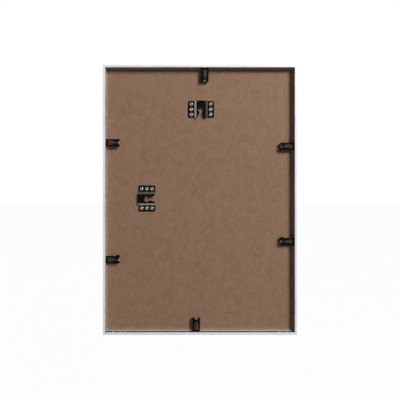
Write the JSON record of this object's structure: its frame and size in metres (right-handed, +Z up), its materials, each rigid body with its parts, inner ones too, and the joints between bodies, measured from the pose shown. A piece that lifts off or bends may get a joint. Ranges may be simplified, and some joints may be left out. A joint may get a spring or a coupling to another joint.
{
  "type": "wall picture frame",
  "caption": "Slim portrait picture frame of mitred aluminium rails, closed at the back by sliding black spring clips over a hardboard panel with riveted slotted hangers.",
  "frame": {"origin": "centre of the frame's outer box", "axes": "+Z up in portrait, +Y from the back to the glazed front, +X to the right as seen from the back"},
  "size_m": [0.512, 0.022, 0.712],
  "materials": {
    "rails": "pale satin anodised",
    "corner_angles": "zinc plated",
    "corner_screws": "zinc plated",
    "back_panel": "bare hardboard",
    "insert_sheet": "plain uncoated paper",
    "glazing_sheet": "clear, polished",
    "hangers": "semi-gloss black",
    "eyelets": "nickel plated",
    "clips": "semi-gloss black"
  },
  "bodies": {
    "frame": {"top_rail": "rails", "bottom_rail": "rails", "left_rail": "rails", "right_rail": "rails", "top_left_corner_angle": "corner_angles", "top_left_corner_screws": "corner_screws", "top_right_corner_angle": "corner_angles", "top_right_corner_screws": "corner_screws", "bottom_left_corner_angle": "corner_angles", "bottom_left_corner_screws": "corner_screws", "bottom_right_corner_angle": "corner_angles", "bottom_right_corner_screws": "corner_screws", "back_panel": "back_panel", "insert_sheet": "insert_sheet", "glazing_sheet": "glazing_sheet", "portrait_hanger": "hangers", "portrait_hanger_eyelets": "eyelets", "landscape_hanger": "hangers", "landscape_hanger_eyelets": "eyelets"},
    "left_upper_clip": {"left_upper_clip": "clips"},
    "left_lower_clip": {"left_lower_clip": "clips"},
    "right_upper_clip": {"right_upper_clip": "clips"},
    "right_lower_clip": {"right_lower_clip": "clips"},
    "top_clip": {"top_clip": "clips"},
    "bottom_clip": {"bottom_clip": "clips"}
  },
  "joints": [
    {"name": "left_upper_clip_slide", "type": "slide", "parent": "frame", "child": "left_upper_clip", "axis": [0, 0, 1], "range_m": [-0.139, 0.139]},
    {"name": "left_lower_clip_slide", "type": "slide", "parent": "frame", "child": "left_lower_clip", "axis": [0, 0, 1], "range_m": [-0.131, 0.147]},
    {"name": "right_upper_clip_slide", "type": "slide", "parent": "frame", "child": "right_upper_clip", "axis": [0, 0, 1], "range_m": [-0.1295, 0.1485]},
    {"name": "right_lower_clip_slide", "type": "slide", "parent": "frame", "child": "right_lower_clip", "axis": [0, 0, 1], "range_m": [-0.179, 0.099]},
    {"name": "top_clip_slide", "type": "slide", "parent": "frame", "child": "top_clip", "axis": [1, 0, 0], "range_m": [-0.203, 0.177]},
    {"name": "bottom_clip_slide", "type": "slide", "parent": "frame", "child": "bottom_clip", "axis": [1, 0, 0], "range_m": [-0.18, 0.2]}
  ]
}
